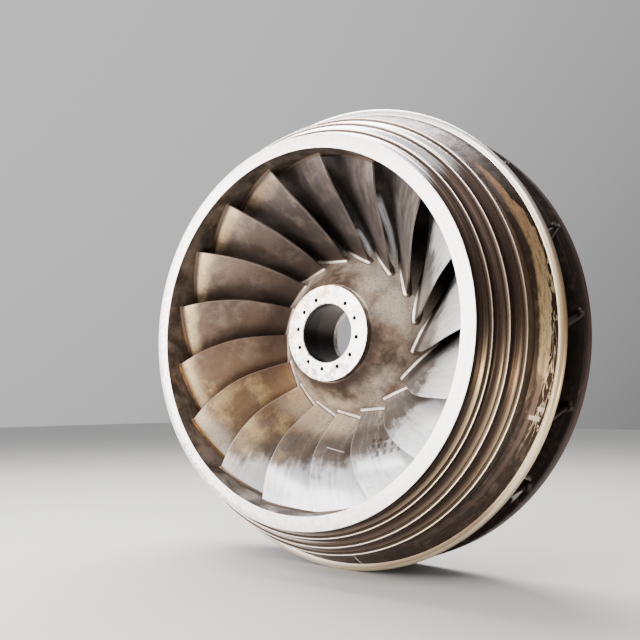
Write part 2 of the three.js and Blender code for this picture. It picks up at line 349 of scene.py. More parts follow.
outlet_finish = bright_finish("skimmed outlet face", 0.22, 0.015)
hub_finish = bright_finish("skimmed hub ring", 0.9, 0.1)
print("bright finishes:", outlet_finish.name, "and", hub_finish.name)

# %% [markdown]
# ## Turning a ring
# Every ring of the runner was cut on a lathe, so we make them the way a lathe does. One point is
# extruded along the outline of the cut, the outline is closed, and `spin` carries it once round
# the axis. Spinning can leave faces that look inwards, so doubles are merged and the normals made
# consistent before a small bevel breaks the sharp corners.

# %% Helpers for pieces
TURN_STEPS = 170
MERGE_WITHIN = 0.01


def set_mode(mode):
    bpy.ops.object.mode_set(mode=mode)


def close_up():
    """Merge the points that meet, and turn all faces outwards."""
    bpy.ops.mesh.select_all(action="SELECT")
    bpy.ops.mesh.remove_doubles(threshold=MERGE_WITHIN * MM)
    bpy.ops.mesh.normals_make_consistent(inside=False)


def start_piece(name):
    """A new mesh object at the origin, holding one point there, in edit mode."""
    bpy.ops.object.select_all(action="DESELECT")
    bpy.ops.mesh.primitive_plane_add(size=MM, location=(0, 0, 0))
    piece = bpy.context.object
    piece.name = name
    set_mode("EDIT")
    bpy.ops.mesh.select_all(action="SELECT")
    bpy.ops.mesh.merge(type="CENTER")
    return piece


def finish_piece(piece, finish, stands_for=(), smooth=32):
    """Close the piece up, shade it, attach it to the root body and hide the model parts it stands for.

    Without weighted normals a wide flat face would look rounded next to a smooth bevel.
    """
    set_mode("EDIT")
    close_up()
    set_mode("OBJECT")
    bpy.ops.object.shade_smooth_by_angle(angle=math.radians(smooth))
    flat_faces = piece.modifiers.new("keep flat faces flat", "WEIGHTED_NORMAL")
    flat_faces.keep_sharp = True
    bpy.ops.object.modifier_apply(modifier=flat_faces.name)
    piece.data.materials.append(finish)
    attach(piece, "root")
    if stands_for:
        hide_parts(*stands_for)


def apply_bevel(piece, width, angle=28, segments=2):
    set_mode("OBJECT")
    bevel = piece.modifiers.new("broken edges", "BEVEL")
    bevel.width = width * MM
    bevel.segments = segments
    bevel.limit_method = "ANGLE"
    bevel.angle_limit = math.radians(angle)
    bpy.ops.object.modifier_apply(modifier=bevel.name)


def turn_ring(name, outline):
    """Extrude one point along an outline of (radius, depth) corners and spin it round the axis."""
    piece = start_piece(name)
    corners = [place(radius, depth, math.pi / 2) for radius, depth in outline]
    bpy.ops.transform.translate(value=corners[0])
    for here, there in zip(corners, corners[1:] + corners[:1]):
        bpy.ops.mesh.extrude_vertices_move(TRANSFORM_OT_translate={"value": there - here})
    close_up()
    bpy.ops.mesh.spin(
        steps=TURN_STEPS, angle=FULL_TURN, center=(0, FRONT, AXIS_HEIGHT), axis=(0, 1, 0),
    )
    close_up()
    return piece


def finish_faces(piece, finish, chosen):
    """Give a second finish to the faces for which chosen(radius, depth) holds."""
    piece.data.materials.append(finish)
    slot_number = len(piece.data.materials) - 1
    for face in piece.data.polygons:
        middle = face.center
        radius = math.hypot(middle.x, middle.z - AXIS_HEIGHT) / MM
        if chosen(radius, (middle.y - FRONT) / MM):
            face.material_index = slot_number


print("a ring takes", TURN_STEPS, "steps round")

# %% [markdown]
# ## The band and what it carries
# The band closes the blades on the outside. Its water side is a quarter round that turns the flow
# from inwards to along the axis. We write that round once, because the blades end on it too.
# The seal ring round the band is stained brown by heat. Painted highlights make it silver where light
# falls from above and gold low on the right, and painted shade darkens it low on the right and in
# the groove at each riser's foot. Behind it the band flares out. There a scaly golden patch of
# grinding dust spreads on the right, scraped off near the lip, and two bars were scraped bright.

# %% Finishes of the band
RIDGES = [(564.5, 41), (592.5, 77), (618.5, 120)]
SEAL_STEPS_END = 174
SEAL_MAP_LENGTH = 180
FLARE_FOOT_RADIUS = 625
FLARE_HEIGHT = 31
SCRAPED_BARS = [(338.2, 632, 652), (340.4, 642, 654)]


def seal_finish():
    steel = Finish("tarnished seal steel with painted light", 0.9)
    marks, fine = steel.marks(0.22), steel.marks(0.9)
    # Each run is painted darker behind the crest and lighter towards the next riser: painted shade and
    # a painted highlight.
    along = {0: (0.052, 0.032, 0.024), 20: (0.095, 0.06, 0.046), 33: (0.22, 0.15, 0.118)}
    rise = {0: 0.0, 22: 0.0, 35: 1.0}
    for (_, front), back in zip(RIDGES, (RIDGES[1][1], RIDGES[2][1], SEAL_STEPS_END)):
        last = back == SEAL_STEPS_END
        along[front + 2] = (0.048, 0.03, 0.023)
        along[mix(front, back, 0.5)] = (0.098, 0.062, 0.047)
        along[back - 1.5] = (0.11, 0.072, 0.055) if last else (0.3, 0.2, 0.155)
        rise |= {front + 1: 0.0, mix(front, back, 0.62): 0.0, back - 2: 0.0 if last else 1.0}
    share = steel.depth / SEAL_MAP_LENGTH
    steel.color = stops(share, along, SEAL_MAP_LENGTH)
    rising = stops(share, rise, SEAL_MAP_LENGTH)
    steel.paint(marks.step(0.38, 0.7, 0, 0.4), (0.3, 0.21, 0.17))
    steel.paint(fine.step(0.48, 0.7, 0, 0.4), (0.04, 0.028, 0.022))
    # Painted golden highlight on the steep part of the shoulders, low on the right.
    golden_highlight = steel.around({0: 0.1, 60: 0, 296: 0.1, 322: 0.75, 345: 0.9, 356: 0.35})
    steel.paint(golden_highlight * rising * marks.step(0.3, 0.55), (0.92, 0.7, 0.41))
    # Painted shade low on the right, away from the steep shoulders.
    low_right_shade_and_oxide = steel.around({0: 0, 225: 0, 262: 0.45, 300: 0.78, 346: 0.78, 356: 0.2})
    steel.paint(low_right_shade_and_oxide * (1 - rising), (0.02, 0.013, 0.01))
    # Painted shade in the groove at the foot of each riser.
    groove, edge, groove_shade = steel.depth.step(3, 9), 0, 0
    for crest, front in RIDGES:
        groove *= 1 - steel.depth.near(front - 1.0, 1.5, 0.8)
        riser = steel.depth.near(front + 0.2, 0.5, 0.4)
        edge = larger(riser * steel.radius.step(crest - 3.4, crest - 1.8), edge)
        foot = steel.depth.near(front - 0.9, 1.3, 0.6)
        groove_shade = larger(foot * steel.radius.step(crest - 2.0, crest - 4.2), groove_shade)
    # Painted highlight: silver where light falls from above, off the grooves.
    top_highlight = steel.around({
        0: 0, 32: 0, 44: 0.5, 55: 1, 78: 1, 150: 0.9, 230: 0.6, 262: 0.5, 300: 0,
    })
    silver_and_highlight = (top_highlight + (marks * 0.9 - 0.45)).step(0.3, 0.62)
    steel.paint(silver_and_highlight * groove, (0.9, 0.87, 0.84))
    groove_shade *= steel.around({0: 0.8, 50: 1, 68: 0.55, 120: 0.6, 285: 1, 312: 0.8, 332: 0.4})
    steel.paint(groove_shade, (0.036, 0.024, 0.018))
    steel.paint(edge, (0.075, 0.048, 0.034))
    # The outer edge of each riser is bright steel, with a painted highlight that changes its strength
    # and tint round the wheel.
    rubbed_and_highlight = steel.around({0: 0.06, 14: 0.09, 26: 0.22, 38: 0.6, 50: 1, 280: 1, 335: 1, 347: 0.4})
    steel.paint(edge * rubbed_and_highlight * marks.step(0.2, 0.6, 0.55, 1), steel.around({
        0: (0.8, 0.66, 0.46), 30: (0.86, 0.74, 0.64), 60: (0.9, 0.79, 0.7),
        280: (0.9, 0.79, 0.7), 300: (0.88, 0.7, 0.44),
    }))
    return steel.done(groove_shade * 0.3 + marks.step(0.2, 0.8, 0.2, 0.34), fine, 0.18, 0.4)


def water_side_finish():
    steel = Finish("band water side", 0.65, (0.06, 0.046, 0.038))
    mottle = steel.cloud(14, 0.35, 0.7)
    steel.paint(mottle, (0.17, 0.13, 0.1))
    steel.paint(steel.cloud(32, 0.55, 0.75), (0.24, 0.15, 0.08))
    lit = steel.around({0: 0.1, 170: 0.1, 215: 0.2, 262: 0.45, 325: 0.4})
    steel.paint(lit * mottle, (0.62, 0.58, 0.54))
    return steel.done(mottle.step(0, 1, 0.55, 0.36), noise(steel.point, 240, 3.0), 0.2)


def flare_finish():
    steel = Finish("flare of the band", 0.78, (0.04, 0.027, 0.02))
    fine = noise(steel.point, 170, 4.0, 0.65)
    outwards = (steel.radius - FLARE_FOOT_RADIUS) / FLARE_HEIGHT
    along_turn = join(steel.turn * 55, steel.radius * 0.11, steel.depth * 0.04)
    swirl = noise(along_turn, 1.0, 3.0, 0.55, 0.6)
    stroke = noise(along_turn, 2.4, 4.0, 0.6, 0.5)
    steel.paint(steel.marks(0.2), (0.13, 0.09, 0.068))
    steel.paint(steel.cloud(30, 0.5, 0.64), (0.17, 0.118, 0.088))
    low_right_shade_and_oxide = steel.around({0: 0, 240: 0.3, 285: 0.62, 305: 0.5, 345: 0.55, 357: 0})
    steel.paint(low_right_shade_and_oxide * stroke.step(0.44, 0.6, 1, 0.3), (0.014, 0.009, 0.007))
    grey = blend(steel.cloud(34, 0.36, 0.66), (0.13, 0.098, 0.094), (0.3, 0.255, 0.248))
    grey = blend(fine.step(0.5, 0.66, 0, 0.7), grey, (0.12, 0.085, 0.08))
    steel.paint(steel.around({
        0: 0, 25: 0, 34: 0.75, 42: 0.85, 70: 1, 110: 0.9, 180: 0.5, 240: 0.2, 300: 0,
    }), grey)
    gold = steel.around({
        0: (0.98, 0.76, 0.4), 12: (0.86, 0.57, 0.3), 24: (0.76, 0.46, 0.25),
        38: (0.66, 0.38, 0.22), 46: (0.34, 0.21, 0.15), 330: (0.3, 0.22, 0.15),
        346: (0.66, 0.5, 0.28), 360: (0.96, 0.75, 0.42),
    })
    gold = blend(stroke.step(0.46, 0.62, 0, 0.6), gold, (0.28, 0.155, 0.07))
    gold = blend(fine.step(0.46, 0.68, 0, 0.35), gold, (0.24, 0.13, 0.06))
    gold_share = steel.around({0: 1, 24: 1, 33: 0.8, 42: 0.45, 50: 0, 340: 0, 347: 0.35, 354: 0.9})
    gold_from = steel.around({0: 0.02, 9: 0.08, 17: 0.2, 27: 0.05, 40: 0.0, 342: 0.15, 350: 0.05})
    gold_zone = steel.ragged(outwards - gold_from, -0.08, 0.1, 30, 0.2)
    gold_zone *= steel.ragged(gold_share, 0.25, 0.55, 26, 0.7)
    gap_from = steel.around({
        0: 0.7, 9: 0.78, 17: 0.86, 26: 0.78, 31: 0.42, 40: 0.3, 344: 0.5, 350: 0.64,
    })
    gap = steel.ragged(outwards - gap_from, -0.02, 0.04, 1.5, 0.75, along_turn)
    gap_share = steel.around({0: 0.95, 27: 0.9, 35: 0.35, 42: 0.2, 50: 0, 330: 0, 338: 0.9})
    steel.paint(gold_zone * (1 - gap), gold)
    steel.paint(gap * gap_share, (0.05, 0.03, 0.02))
    near_lip = steel.around({0: 1, 12: 0.7, 20: 0.2, 26: 0, 328: 0, 336: 0.8, 346: 1})
    curl = swirl.near(0.52, 0.012, 0.022) * outwards.step(0.35, 0.6) * near_lip
    steel.paint(curl, (0.86, 0.7, 0.46))
    strip_at = steel.around({0: 0.3, 290: 0.04, 320: 0.1, 336: 0.24, 344: 0.32})
    strip_share = steel.around({0: 0, 290: 0.1, 320: 0.35, 340: 0.8, 350: 0.5, 357: 0})
    steel.paint(outwards.near(strip_at, 0.08, 0.08) * strip_share, (0.2, 0.135, 0.11))
    turn_degrees = steel.turn * 360
    for middle, low, high in SCRAPED_BARS:
        bar = steel.radius.near((low + high) / 2, (high - low) / 2 - 2, 3)
        steel.paint(turn_degrees.near(middle, 0.34, 0.3) * bar, (0.74, 0.62, 0.5))
    tick = turn_degrees.near(277, 0.12, 0.15) * outwards.step(0.1, 0.3)
    steel.paint(tick, (0.8, 0.72, 0.62))
    return steel.done(fine.step(0.3, 0.7, 0.28, 0.46), stroke + fine, 0.3)


seal_steel, band_water_finish, flare_steel = seal_finish(), water_side_finish(), flare_finish()
print("band finishes:", seal_steel.name, band_water_finish.name, flare_steel.name)

# %% Turn the band
THROAT_RADIUS, THROAT_DEPTH = 499.5, 48
ROUND_RADIUS, BAND_BACK = 677.5, 232
ROUND_WIDTH, ROUND_DEPTH = ROUND_RADIUS - THROAT_RADIUS, BAND_BACK - THROAT_DEPTH
LIP_SEAT, LIP_FRONT = FLARE_FOOT_RADIUS + FLARE_HEIGHT, 217.5
FLARE_FOOT_DEPTH = 175
SEAL_SEAT, SEAL_FRONT, SEAL_BACK = 546, 24, 166
OUTLET_OUTER, OUTLET_INNER = 540, 501


def band_round(turn):
    """Radius and depth on the band's water side, from the throat (0) to the inlet (90 degrees)."""
    return ROUND_RADIUS - ROUND_WIDTH * math.cos(turn), THROAT_DEPTH + ROUND_DEPTH * math.sin(turn)


def band_turn_at(radius):
    return math.acos((ROUND_RADIUS - radius) / ROUND_WIDTH)


def band_water_side(from_radius, to_radius, count):
    start, end = band_turn_at(from_radius), band_turn_at(to_radius)
    return [band_round(mix(start, end, i / count)) for i in range(count + 1)]


band = turn_ring("band_shell", [
    (OUTLET_OUTER, 0), (OUTLET_INNER, 0),
    *band_water_side(THROAT_RADIUS, LIP_SEAT, 20),
    (LIP_SEAT, LIP_FRONT), (647, 204), (640, 194.5), (633, 185.5), (628, 179),
    (FLARE_FOOT_RADIUS - 1, FLARE_FOOT_DEPTH - 1.5), (621, 170), (618.6, SEAL_BACK + 1),
    (618, SEAL_BACK + 0.3), (SEAL_SEAT, SEAL_BACK + 0.3), (SEAL_SEAT, SEAL_FRONT), (OUTLET_OUTER, 18),
])
apply_bevel(band, 1.2)
finish_piece(band, band_water_finish, ["band"])
finish_faces(band, seal_steel, lambda radius, depth: depth < 26 and radius > OUTLET_OUTER - 2)
finish_faces(band, outlet_finish, lambda radius, depth: depth < 0.8 and radius > OUTLET_INNER - 1)
finish_faces(band, flare_steel, lambda radius, depth: radius > 612 and depth < LIP_FRONT)
print("band faces:", len(band.data.polygons))

# %% [markdown]
# The seal ring is shrunk on the band. It has three steps, and each step is the same cut: a short
# cylinder, a soft shoulder, a narrow groove where the tool stopped, and a sharp riser that faces
# the outlet. The steel has tarnished brown, but the risers are still bright at their outer edge,
# because they were cut last, and a painted highlight there changes round the wheel. The finish
# finds them by their radius and depth.

# %% Turn the seal ring
RISER = 10


def shoulder(start, end, count=7):
    """A soft rise from one corner to another, level at both ends."""
    shares = [i / count for i in range(count + 1)]
    return [(mix(start[0], end[0], u * u * (3 - 2 * u)), mix(start[1], end[1], u)) for u in shares]


seal_outline = [(SEAL_SEAT + 0.3, SEAL_FRONT)]
run_start = (SEAL_SEAT + 0.8, SEAL_FRONT)
for i, (radius, depth) in enumerate(RIDGES):
    foot = radius - RISER
    seal_outline += shoulder(run_start, (foot, depth - 4))
    seal_outline += [(foot - 1.6, depth - 3.2), (foot - 1.6, depth - 1), (foot - 0.4, depth)]
    seal_outline += [(radius - 0.7, depth), (radius, depth + 0.7)]
    run_end = mix(depth, RIDGES[i + 1][1], 0.42) if i < 2 else SEAL_BACK
    run_start = (radius, run_end)
seal_outline += [(RIDGES[2][0], SEAL_BACK), (SEAL_SEAT + 0.3, SEAL_BACK)]
seal = turn_ring("seal_ring_turned", seal_outline)
finish_piece(seal, seal_steel, ["seal_ring"])
print("seal ring faces:", len(seal.data.polygons))

# %% [markdown]
# The inlet lip is a narrow hoop that looks at us, with a rounded outer corner. Its back follows
# the band's round. It is polished by handling: cream at the top, tanned or brown on the right
# side and at the bottom, where the darkest brown and the dark back edge are painted shade. A
# light line runs where it is rubbed most, with a painted highlight that moves across the
# rounded front round the wheel.

# %% Turn the inlet lip
MAP_RADIUS = 700


def lip_finish():
    steel = Finish("polished inlet lip with painted light", 0.75)
    marks = steel.marks(0.45)
    # Colour round the lip; the darkest brown, low on the right, is painted shade.
    steel.color = steel.around({
        0: (0.56, 0.38, 0.2), 14: (0.56, 0.42, 0.28), 30: (0.7, 0.62, 0.54),
        45: (0.9, 0.86, 0.82), 150: (0.84, 0.8, 0.76), 262: (0.86, 0.76, 0.62),
        285: (0.34, 0.24, 0.15), 312: (0.2, 0.13, 0.08), 330: (0.8, 0.62, 0.37),
        344: (0.78, 0.58, 0.33),
    })
    steel.paint(marks.step(0.45, 0.7, 0, 0.55), (0.26, 0.17, 0.1))
    # A painted highlight: a light line that moves from the inner side of the rounded front on the
    # right to its outer side at the bottom.
    line = {0: 658.5, 18: 658, 270: 672, 308: 671, 330: 668}
    line_at = steel.around({turn: radius / MAP_RADIUS for turn, radius in line.items()})
    off = line_at * MAP_RADIUS - steel.radius
    off *= steel.around({0: 1, 280: 0.45, 335: 0.45, 352: 1})
    rubbed_and_highlight = steel.around({0: 1, 20: 0.7, 28: 0, 262: 0, 280: 0.5, 305: 0.5, 322: 0.9})
    steel.paint(off.near(0, 1.0, 1.6) * rubbed_and_highlight, (1.0, 0.86, 0.6))
    # Painted shade on the back edge of the lip.
    steel.paint(steel.depth.step(227.5, 228.5), (0.07, 0.05, 0.04))
    return steel.turned(marks, 0.24, 0.42)


lip = turn_ring("inlet_lip_turned", [
    (LIP_SEAT + 0.3, LIP_FRONT), (663, LIP_FRONT), (667, 218), (670.5, 219.3), (673.5, 221.4),
    (675.4, 223.8), (RIM_RADIUS, 226.5), (RIM_RADIUS, BAND_BACK - 1.5),
    (RIM_RADIUS - 1, BAND_BACK - 0.5),
    *reversed(band_water_side(LIP_SEAT + 0.3, 671, 6)),
])
apply_bevel(lip, 0.8)
finish_piece(lip, lip_finish(), ["inlet_lip"])
print("lip faces:", len(lip.data.polygons))

# %% [markdown]
# ## The crown
# The crown is the disc at the back. Its water side starts as a cone behind the hub ring and
# flattens out towards the rim, on one smooth curve. The blades stand on that curve, so it gets a
# function that gives a point for any share of its length. The cone is mottled brown and grey. The
# deep part is nearly black, apart from two bright slivers between the upper blades, which are
# painted reflections on matt steel. The back is turned steel with a thin film of rust.

# %% Finishes of the crown
CROWN_FACE = 367
SLIVER_REFLECTION_RADIUS = 449


def crown_finish():
    steel = Finish("mottled crown", 0.7, (0.095, 0.064, 0.047))
    radius = steel.radius
    fine = noise(steel.point, 170, 6.0, 0.75)
    mottle = steel.cloud(13, 0.4, 0.62)
    steel.paint(mottle, (0.37, 0.27, 0.2))
    steel.paint(steel.cloud(26, 0.5, 0.62) * 0.4, (0.2, 0.105, 0.066))
    side = steel.around({
        0: 0.36, 20: 0.84, 48: 0.9, 75: 0.45, 105: 0.2, 130: 0.5, 180: 0.3, 235: 0.55,
        275: 0.45, 312: 0.62, 340: 0.38, 360: 0.34,
    })
    patches = steel.ragged(side + radius.step(160, 212, -0.14, 0.14), 0.2, 0.95, 12, 1.9)
    steel.paint(patches * 0.9, (0.86, 0.74, 0.6))
    shaded = steel.around({0: 0.2, 25: 0, 215: 0, 240: 0.85, 300: 0.85, 340: 0.5})
    steel.paint(radius.step(182, 150) * shaded, (0.06, 0.04, 0.032))
    steel.paint(fine.step(0.44, 0.66, 0, 0.58), (0.12, 0.08, 0.06))
    steel.paint(radius.near(230, 5, 10) * 0.3, (0.2, 0.11, 0.065))
    inlet = blend(steel.cloud(22, 0.5, 0.76), (0.024, 0.0175, 0.015), (0.09, 0.06, 0.047))
    steel.paint(radius.step(236, 325), inlet)
    # Painted reflection: two bright slivers on the crown between the upper blades, made matt so that
    # they stay bright.
    inwards = SLIVER_REFLECTION_RADIUS - radius
    from_curve = (steel.turn * 360 - 83) + inwards * (inwards * 0.000404 + 0.0677)
    brushed = noise(join(from_curve * 1.1, radius * 0.022), 1.0, 4.0, 0.65, 0.3)
    wide = from_curve.near(0.3, 1.0, 1.8) * radius.near(352, 58, 48)
    thin = from_curve.near(20.4, 0.8, 1.2) * radius.near(297, 26, 24)
    sliver_reflection = larger(wide, thin) * brushed.step(0.34, 0.46, 0.4, 1)
    connect(sliver_reflection * -0.7 + 0.7, steel.shader["Metallic"])
    steel.paint(sliver_reflection, (0.98, 0.99, 1.0))
    scuff = steel.turn.near(318.5 / 360, 0.006, 0.006) * radius.near(652, 12, 8)
    steel.paint(scuff * steel.cloud(60, 0.38, 0.5), (0.85, 0.82, 0.78))
    shine = blend(sliver_reflection, mottle.step(0, 1, 0.52, 0.36), (0.18, 0.18, 0.18))
    return steel.done(shine, fine, 0.45)


def back_finish():
    steel = Finish("turned back of the crown", 0.85, (0.2, 0.165, 0.14))
    marks = steel.marks(0.14)
    steel.paint(marks, (0.46, 0.42, 0.38))
    steel.paint(steel.cloud(7, 0.42, 0.74) * 0.7, (0.22, 0.15, 0.105))
    worn = steel.given("ShaderNodeNewGeometry", "Pointiness").step(0.52, 0.57)
    steel.paint(worn, (0.75, 0.72, 0.68))
    return steel.turned(marks, 0.3, 0.46, 0.2)


def bore_finish():
    steel = Finish("oily bore", 0.75)
    marks = steel.marks(0.25)
    black = blend(marks, (0.006, 0.004, 0.0035), (0.02, 0.014, 0.012))
    brown = blend(marks, (0.022, 0.015, 0.012), (0.065, 0.046, 0.038))
    steel.color = blend(steel.depth.step(228, 244), black, brown)
    return steel.turned(marks, 0.25, 0.42)


def rim_finish():
    steel = Finish("rusty crown rim with painted shade", 0.2, (0.015, 0.009, 0.0075))
    connect(0.25, steel.shader["Specular IOR Level"])
    marks = steel.marks(0.2)
    # The front of the rim is painted dark as shade; it turns lighter brown towards the back.
    steel.paint(steel.depth.step(CROWN_FACE + 4, CROWN_FACE + 45), (0.102, 0.058, 0.044))
    steel.paint(marks * 0.6, (0.01, 0.006, 0.005))
    steel.paint(steel.cloud(24, 0.54, 0.7), (0.07, 0.04, 0.028))
    red = steel.depth.near(424.5, 1.6, 1.6) * steel.cloud(12, 0.42, 0.56)
    red *= steel.around({0: 0.4, 12: 0.8, 50: 0.8, 80: 0.2, 300: 0.15})
    steel.paint(red, (0.4, 0.19, 0.085))
    return steel.turned(marks, 0.62, 0.82, 0.25)


def hole_finish():
    # Nearly black inside: painted shade in the holes, with rust.
    steel = Finish("rust and painted shade in the holes", 0.0, (0.008, 0.005, 0.004))
    rust = noise(steel.point, 300)
    steel.paint(rust, (0.035, 0.018, 0.01))
    return steel.done(rust.step(0, 1, 0.7, 0.95), rust)


crown_water_finish, crown_back_finish, crown_bore_finish = crown_finish(), back_finish(), bore_finish()
print("crown finishes:", crown_water_finish.name, crown_back_finish.name, crown_bore_finish.name)

# %% Turn the crown
CROWN_FOOT = (231, 274)
LEADING_RADIUS = 662
CROWN_CURVE = [CROWN_FOOT, (285, 330), (430, CROWN_FACE), (LEADING_RADIUS, CROWN_FACE)]
CROWN_SAMPLES = 240
TOTAL_DEPTH = 427.5
CROWN_RADIUS, RIM_SEAT = 659.2, 659.6
CONE_RADIUS, CONE_DEPTH = 146, 175
BORE_RADIUS, RELIEF_RADIUS = 85.5, 97
RECESS_RADIUS, RECESS_DEPTH = 235, 329.7


def bezier(points, u):
    weights = ((1 - u) ** 3, 3 * u * (1 - u) ** 2, 3 * u * u * (1 - u), u ** 3)
    return tuple(sum(w * p[k] for w, p in zip(weights, points)) for k in range(2))


crown_trace = [bezier(CROWN_CURVE, i / CROWN_SAMPLES) for i in range(CROWN_SAMPLES + 1)]
crown_lengths = [0.0]
for before, after in zip(crown_trace, crown_trace[1:]):
    crown_lengths.append(crown_lengths[-1] + math.dist(before, after))


def crown_at(share):
    """Radius and depth at a share of the length of the crown's water side."""
    wanted = share * crown_lengths[-1]
    for i in range(CROWN_SAMPLES):
        if wanted <= crown_lengths[i + 1]:
            part = (wanted - crown_lengths[i]) / (crown_lengths[i + 1] - crown_lengths[i])
            return tuple(mix(crown_trace[i][k], crown_trace[i + 1][k], part) for k in range(2))
    return crown_trace[-1]


def crown_depth(radius):
    """Depth of the crown's water side at a radius."""
    if radius <= CROWN_FOOT[0]:
        share = (radius - CONE_RADIUS) / (CROWN_FOOT[0] - CONE_RADIUS)
        return mix(CONE_DEPTH, CROWN_FOOT[1], share)
    for before, after in zip(crown_trace, crown_trace[1:]):
        if radius <= after[0]:
            return mix(before[1], after[1], (radius - before[0]) / (after[0] - before[0]))
    return CROWN_FACE


crown = turn_ring("crown_disc_turned", [
    (BORE_RADIUS, CONE_DEPTH), (CONE_RADIUS - 2.5, CONE_DEPTH), (CONE_RADIUS, CONE_DEPTH + 1.5),
    *[(radius, crown_depth(radius)) for radius in (170, 200, 220)],
    *[crown_at(i / 22) for i in range(22)],
    (CROWN_RADIUS, CROWN_FACE), (CROWN_RADIUS, TOTAL_DEPTH), (590, TOTAL_DEPTH), (430, 414),
    (300, 390), (RECESS_RADIUS, 372), (RECESS_RADIUS, RECESS_DEPTH), (RELIEF_RADIUS, RECESS_DEPTH),
    (RELIEF_RADIUS, 241), (92, 241), (92, 191), (BORE_RADIUS, 191),
])
apply_bevel(crown, 1.5, angle=35)
finish_piece(crown, crown_water_finish, ["crown_hub", "crown_shoulder", "crown_disc"])
finish_faces(crown, crown_back_finish, lambda radius, depth: (
    depth > RECESS_DEPTH - 1.7 and depth > crown_depth(radius) + 6
))
finish_faces(crown, crown_bore_finish, lambda radius, depth: radius < RELIEF_RADIUS + 1)

rim_ring = turn_ring("crown_rim_ring_turned", [
    (RIM_SEAT, CROWN_FACE), (RIM_RADIUS - 3, CROWN_FACE), (RIM_RADIUS, CROWN_FACE + 3),
    (RIM_RADIUS, 382), (RIM_RADIUS - 1.7, 383.2), (RIM_RADIUS - 1.7, 385.8), (RIM_RADIUS, 387),
    (RIM_RADIUS, TOTAL_DEPTH - 3), (RIM_RADIUS - 3, TOTAL_DEPTH), (RIM_SEAT, TOTAL_DEPTH),
])
finish_piece(rim_ring, rim_finish(), ["crown_rim_ring"])
print("crown faces:", len(crown.data.polygons))

# %% [markdown]
# ## Rings with bolt holes
# The hub ring in front carries a runner cone, and the coupling flange at the back takes the shaft.
# Both are flat rings with a bolt circle. A drill is a cylinder whose front end is extruded and
# widened, so that one cut makes the hole and its countersink. A Boolean modifier takes it away.
# One of the twelve places of the hub ring was never drilled.

# %% Turn and drill the two flat rings
COUNTERSINK = 1.2


def drill_hole(piece, radius, depth, angle, hole_radius, length, facing):
    """Cut a countersunk hole along the axis. facing is -1 for the front and 1 for the back."""
    bpy.ops.object.select_all(action="DESELECT")
    middle = place(radius, depth - facing * (length / 2 + COUNTERSINK), angle)
    bpy.ops.mesh.primitive_cylinder_add(
        vertices=28, radius=hole_radius * MM, depth=length * MM,
        location=middle, rotation=(math.pi / 2, 0, 0),
    )
    drill = bpy.context.object
    bpy.ops.object.transform_apply(location=True, rotation=True, scale=True)
    set_mode("EDIT")
    bpy.ops.mesh.select_all(action="DESELECT")
    set_mode("OBJECT")
    for face in drill.data.polygons:
        face.select = face.normal.y * facing > 0.9
    set_mode("EDIT")
    out = Vector((0, facing * MM, 0))
    bpy.ops.mesh.extrude_region_move(TRANSFORM_OT_translate={"value": out * COUNTERSINK})
    widened = (hole_radius + COUNTERSINK) / hole_radius
    bpy.ops.transform.resize(
        value=(widened, 1, widened), center_override=place(radius, depth, angle),
    )
    bpy.ops.mesh.extrude_region_move(TRANSFORM_OT_translate={"value": out * 2})
    close_up()
    set_mode("OBJECT")
    cut = piece.modifiers.new("hole", "BOOLEAN")
    cut.operation = "DIFFERENCE"
    cut.solver = "EXACT"
    cut.object = drill
    bpy.context.view_layer.objects.active = piece
    bpy.ops.object.modifier_apply(modifier=cut.name)
    bpy.data.objects.remove(drill)


HUB_FRONT, HUB_BACK, HUB_RADIUS = 157, 174.7, 140.5
HUB_HOLES, HUB_HOLE_CIRCLE, HUB_HOLE_RADIUS, HUB_HOLE_LENGTH = 12, 104.5, 5, 18
HUB_FIRST_HOLE = math.radians(81)
hub_ring = turn_ring("hub_ring_turned", [
    (BORE_RADIUS + 2, HUB_FRONT), (HUB_RADIUS - 1.5, HUB_FRONT), (HUB_RADIUS, HUB_FRONT + 1.5),
    (HUB_RADIUS, HUB_BACK - 1.3), (HUB_RADIUS - 1.3, HUB_BACK), (BORE_RADIUS, HUB_BACK),
    (BORE_RADIUS, HUB_FRONT + 2),
])
set_mode("OBJECT")
for i in range(1, HUB_HOLES):
    angle = HUB_FIRST_HOLE + i * FULL_TURN / HUB_HOLES
    drill_hole(hub_ring, HUB_HOLE_CIRCLE, HUB_FRONT, angle, HUB_HOLE_RADIUS, HUB_HOLE_LENGTH, -1)
finish_piece(hub_ring, hub_finish, ["hub_ring"])
finish_faces(hub_ring, crown_bore_finish, lambda radius, depth: radius < BORE_RADIUS + 0.5)
finish_faces(hub_ring, crown_water_finish, lambda radius, depth: radius > HUB_RADIUS - 1.1)
finish_faces(hub_ring, hole_finish(), lambda radius, depth: (
    depth > HUB_FRONT + 0.05 and abs(radius - HUB_HOLE_CIRCLE) < HUB_HOLE_RADIUS + 2
))

COUPLING_BACK = 352
COUPLING_HOLES, COUPLING_HOLE_CIRCLE, COUPLING_HOLE_RADIUS, COUPLING_HOLE_LENGTH = 8, 165, 16.5, 23
flange = turn_ring("coupling_flange_turned", [
    (RELIEF_RADIUS, 330), (226, 330), (228, 332), (228, COUPLING_BACK - 2), (226, COUPLING_BACK),
    (RELIEF_RADIUS + 2, COUPLING_BACK), (RELIEF_RADIUS, COUPLING_BACK - 2),
])
set_mode("OBJECT")
for i in range(COUPLING_HOLES):
    angle = math.pi / 2 + i * FULL_TURN / COUPLING_HOLES
    drill_hole(
        flange, COUPLING_HOLE_CIRCLE, COUPLING_BACK, angle, COUPLING_HOLE_RADIUS,
        COUPLING_HOLE_LENGTH, 1,
    )
coupling_finish = bright_finish("skimmed coupling", 0.6, 0.06, (0.74, 0.72, 0.69))
finish_piece(flange, coupling_finish, ["coupling_flange"])
print("holes drilled:", HUB_HOLES - 1 + COUPLING_HOLES)

